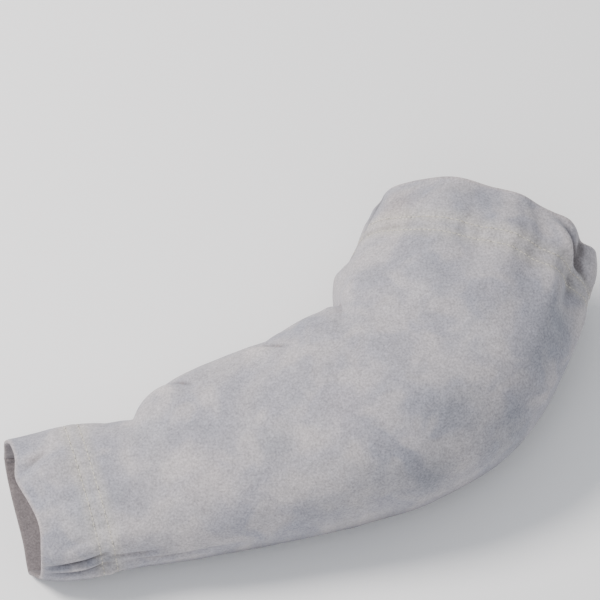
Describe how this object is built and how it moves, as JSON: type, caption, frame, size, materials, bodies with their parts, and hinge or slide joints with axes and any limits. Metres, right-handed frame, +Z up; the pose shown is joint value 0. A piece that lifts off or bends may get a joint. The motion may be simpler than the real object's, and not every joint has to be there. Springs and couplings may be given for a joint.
{
  "type": "welding sleeve",
  "caption": "Hollow split-leather forearm and elbow sleeve, bent at the elbow and lying on its side, drawn in with elastic at the wrist and at the upper arm.",
  "frame": {"origin": "on the surface that the sleeve lies on, under the middle of its outline", "axes": "+X from the wrist to the elbow, +Y towards the inside of the bend, +Z up"},
  "size_m": [0.4342, 0.2586, 0.1284],
  "materials": {
    "split_leather": "brushed suede nap",
    "elastic": "braided"
  },
  "bodies": {
    "root": {"sleeve_body": "split_leather", "wrist_elastic": "elastic", "arm_elastic": "elastic"}
  },
  "joints": []
}
